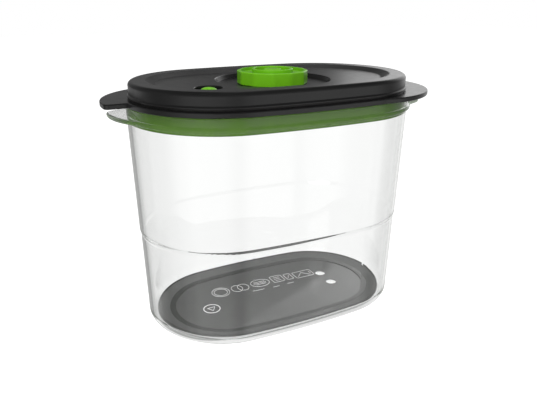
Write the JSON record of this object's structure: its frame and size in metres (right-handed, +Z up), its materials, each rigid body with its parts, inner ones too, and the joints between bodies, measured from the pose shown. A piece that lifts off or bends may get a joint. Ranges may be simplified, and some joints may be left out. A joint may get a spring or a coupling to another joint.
{
  "type": "vacuum seal canister",
  "caption": "Clear oval food canister with a drip tray and a black clip-down lid that has a green gasket, a green twist valve knob with a vacuum port and a pop-down vacuum indicator.",
  "frame": {"origin": "on the table under the middle of the tub, in the plane of its foot ring", "axes": "+X along the long axis of the oval, +Y across it away from the indicator side, +Z up"},
  "size_m": [0.2084, 0.1186, 0.1562],
  "materials": {
    "clear_plastic": "clear, polished",
    "grey_plastic": "satin dark grey",
    "black_plastic": "fine matt black",
    "green_plastic": "satin bright green",
    "green_silicone": "soft satin green",
    "black_rubber": "soft matt black",
    "white_plastic": "natural white"
  },
  "bodies": {
    "container": {"container_body": "clear_plastic"},
    "tray": {"drip_tray": "grey_plastic"},
    "lid": {"lid_cover": "black_plastic", "seal_carrier": "black_plastic", "lid_gasket": "green_silicone", "valve_guard": "black_plastic", "indicator_diaphragm": "black_rubber", "indicator_retainer": "black_plastic"},
    "knob": {"valve_knob": "green_plastic", "knob_o_ring": "black_rubber", "knob_retainer": "white_plastic", "vent_seal": "black_rubber"},
    "check_valve": {"check_valve": "green_silicone"},
    "indicator": {"indicator_button": "green_plastic"}
  },
  "joints": [
    {"name": "lid_lift", "type": "slide", "parent": "container", "child": "lid", "axis": [0, 0, 1], "range_m": [0, 0.12]},
    {"name": "tray_lift", "type": "slide", "parent": "container", "child": "tray", "axis": [0, 0, 1], "range_m": [0, 0.11]},
    {"name": "knob_turn", "type": "hinge", "parent": "lid", "child": "knob", "pos_m": [0, 0, 0.1472], "axis": [0, 0, 1], "range_deg": [0, 90]},
    {"name": "valve_lift", "type": "slide", "parent": "knob", "child": "check_valve", "axis": [0, 0, 1], "range_m": [0, 0.0012]},
    {"name": "indicator_press", "type": "slide", "parent": "lid", "child": "indicator", "axis": [0, 0, -1], "range_m": [0, 0.003], "stiffness_N_per_m": 150, "deforming": ["indicator_diaphragm"]}
  ]
}
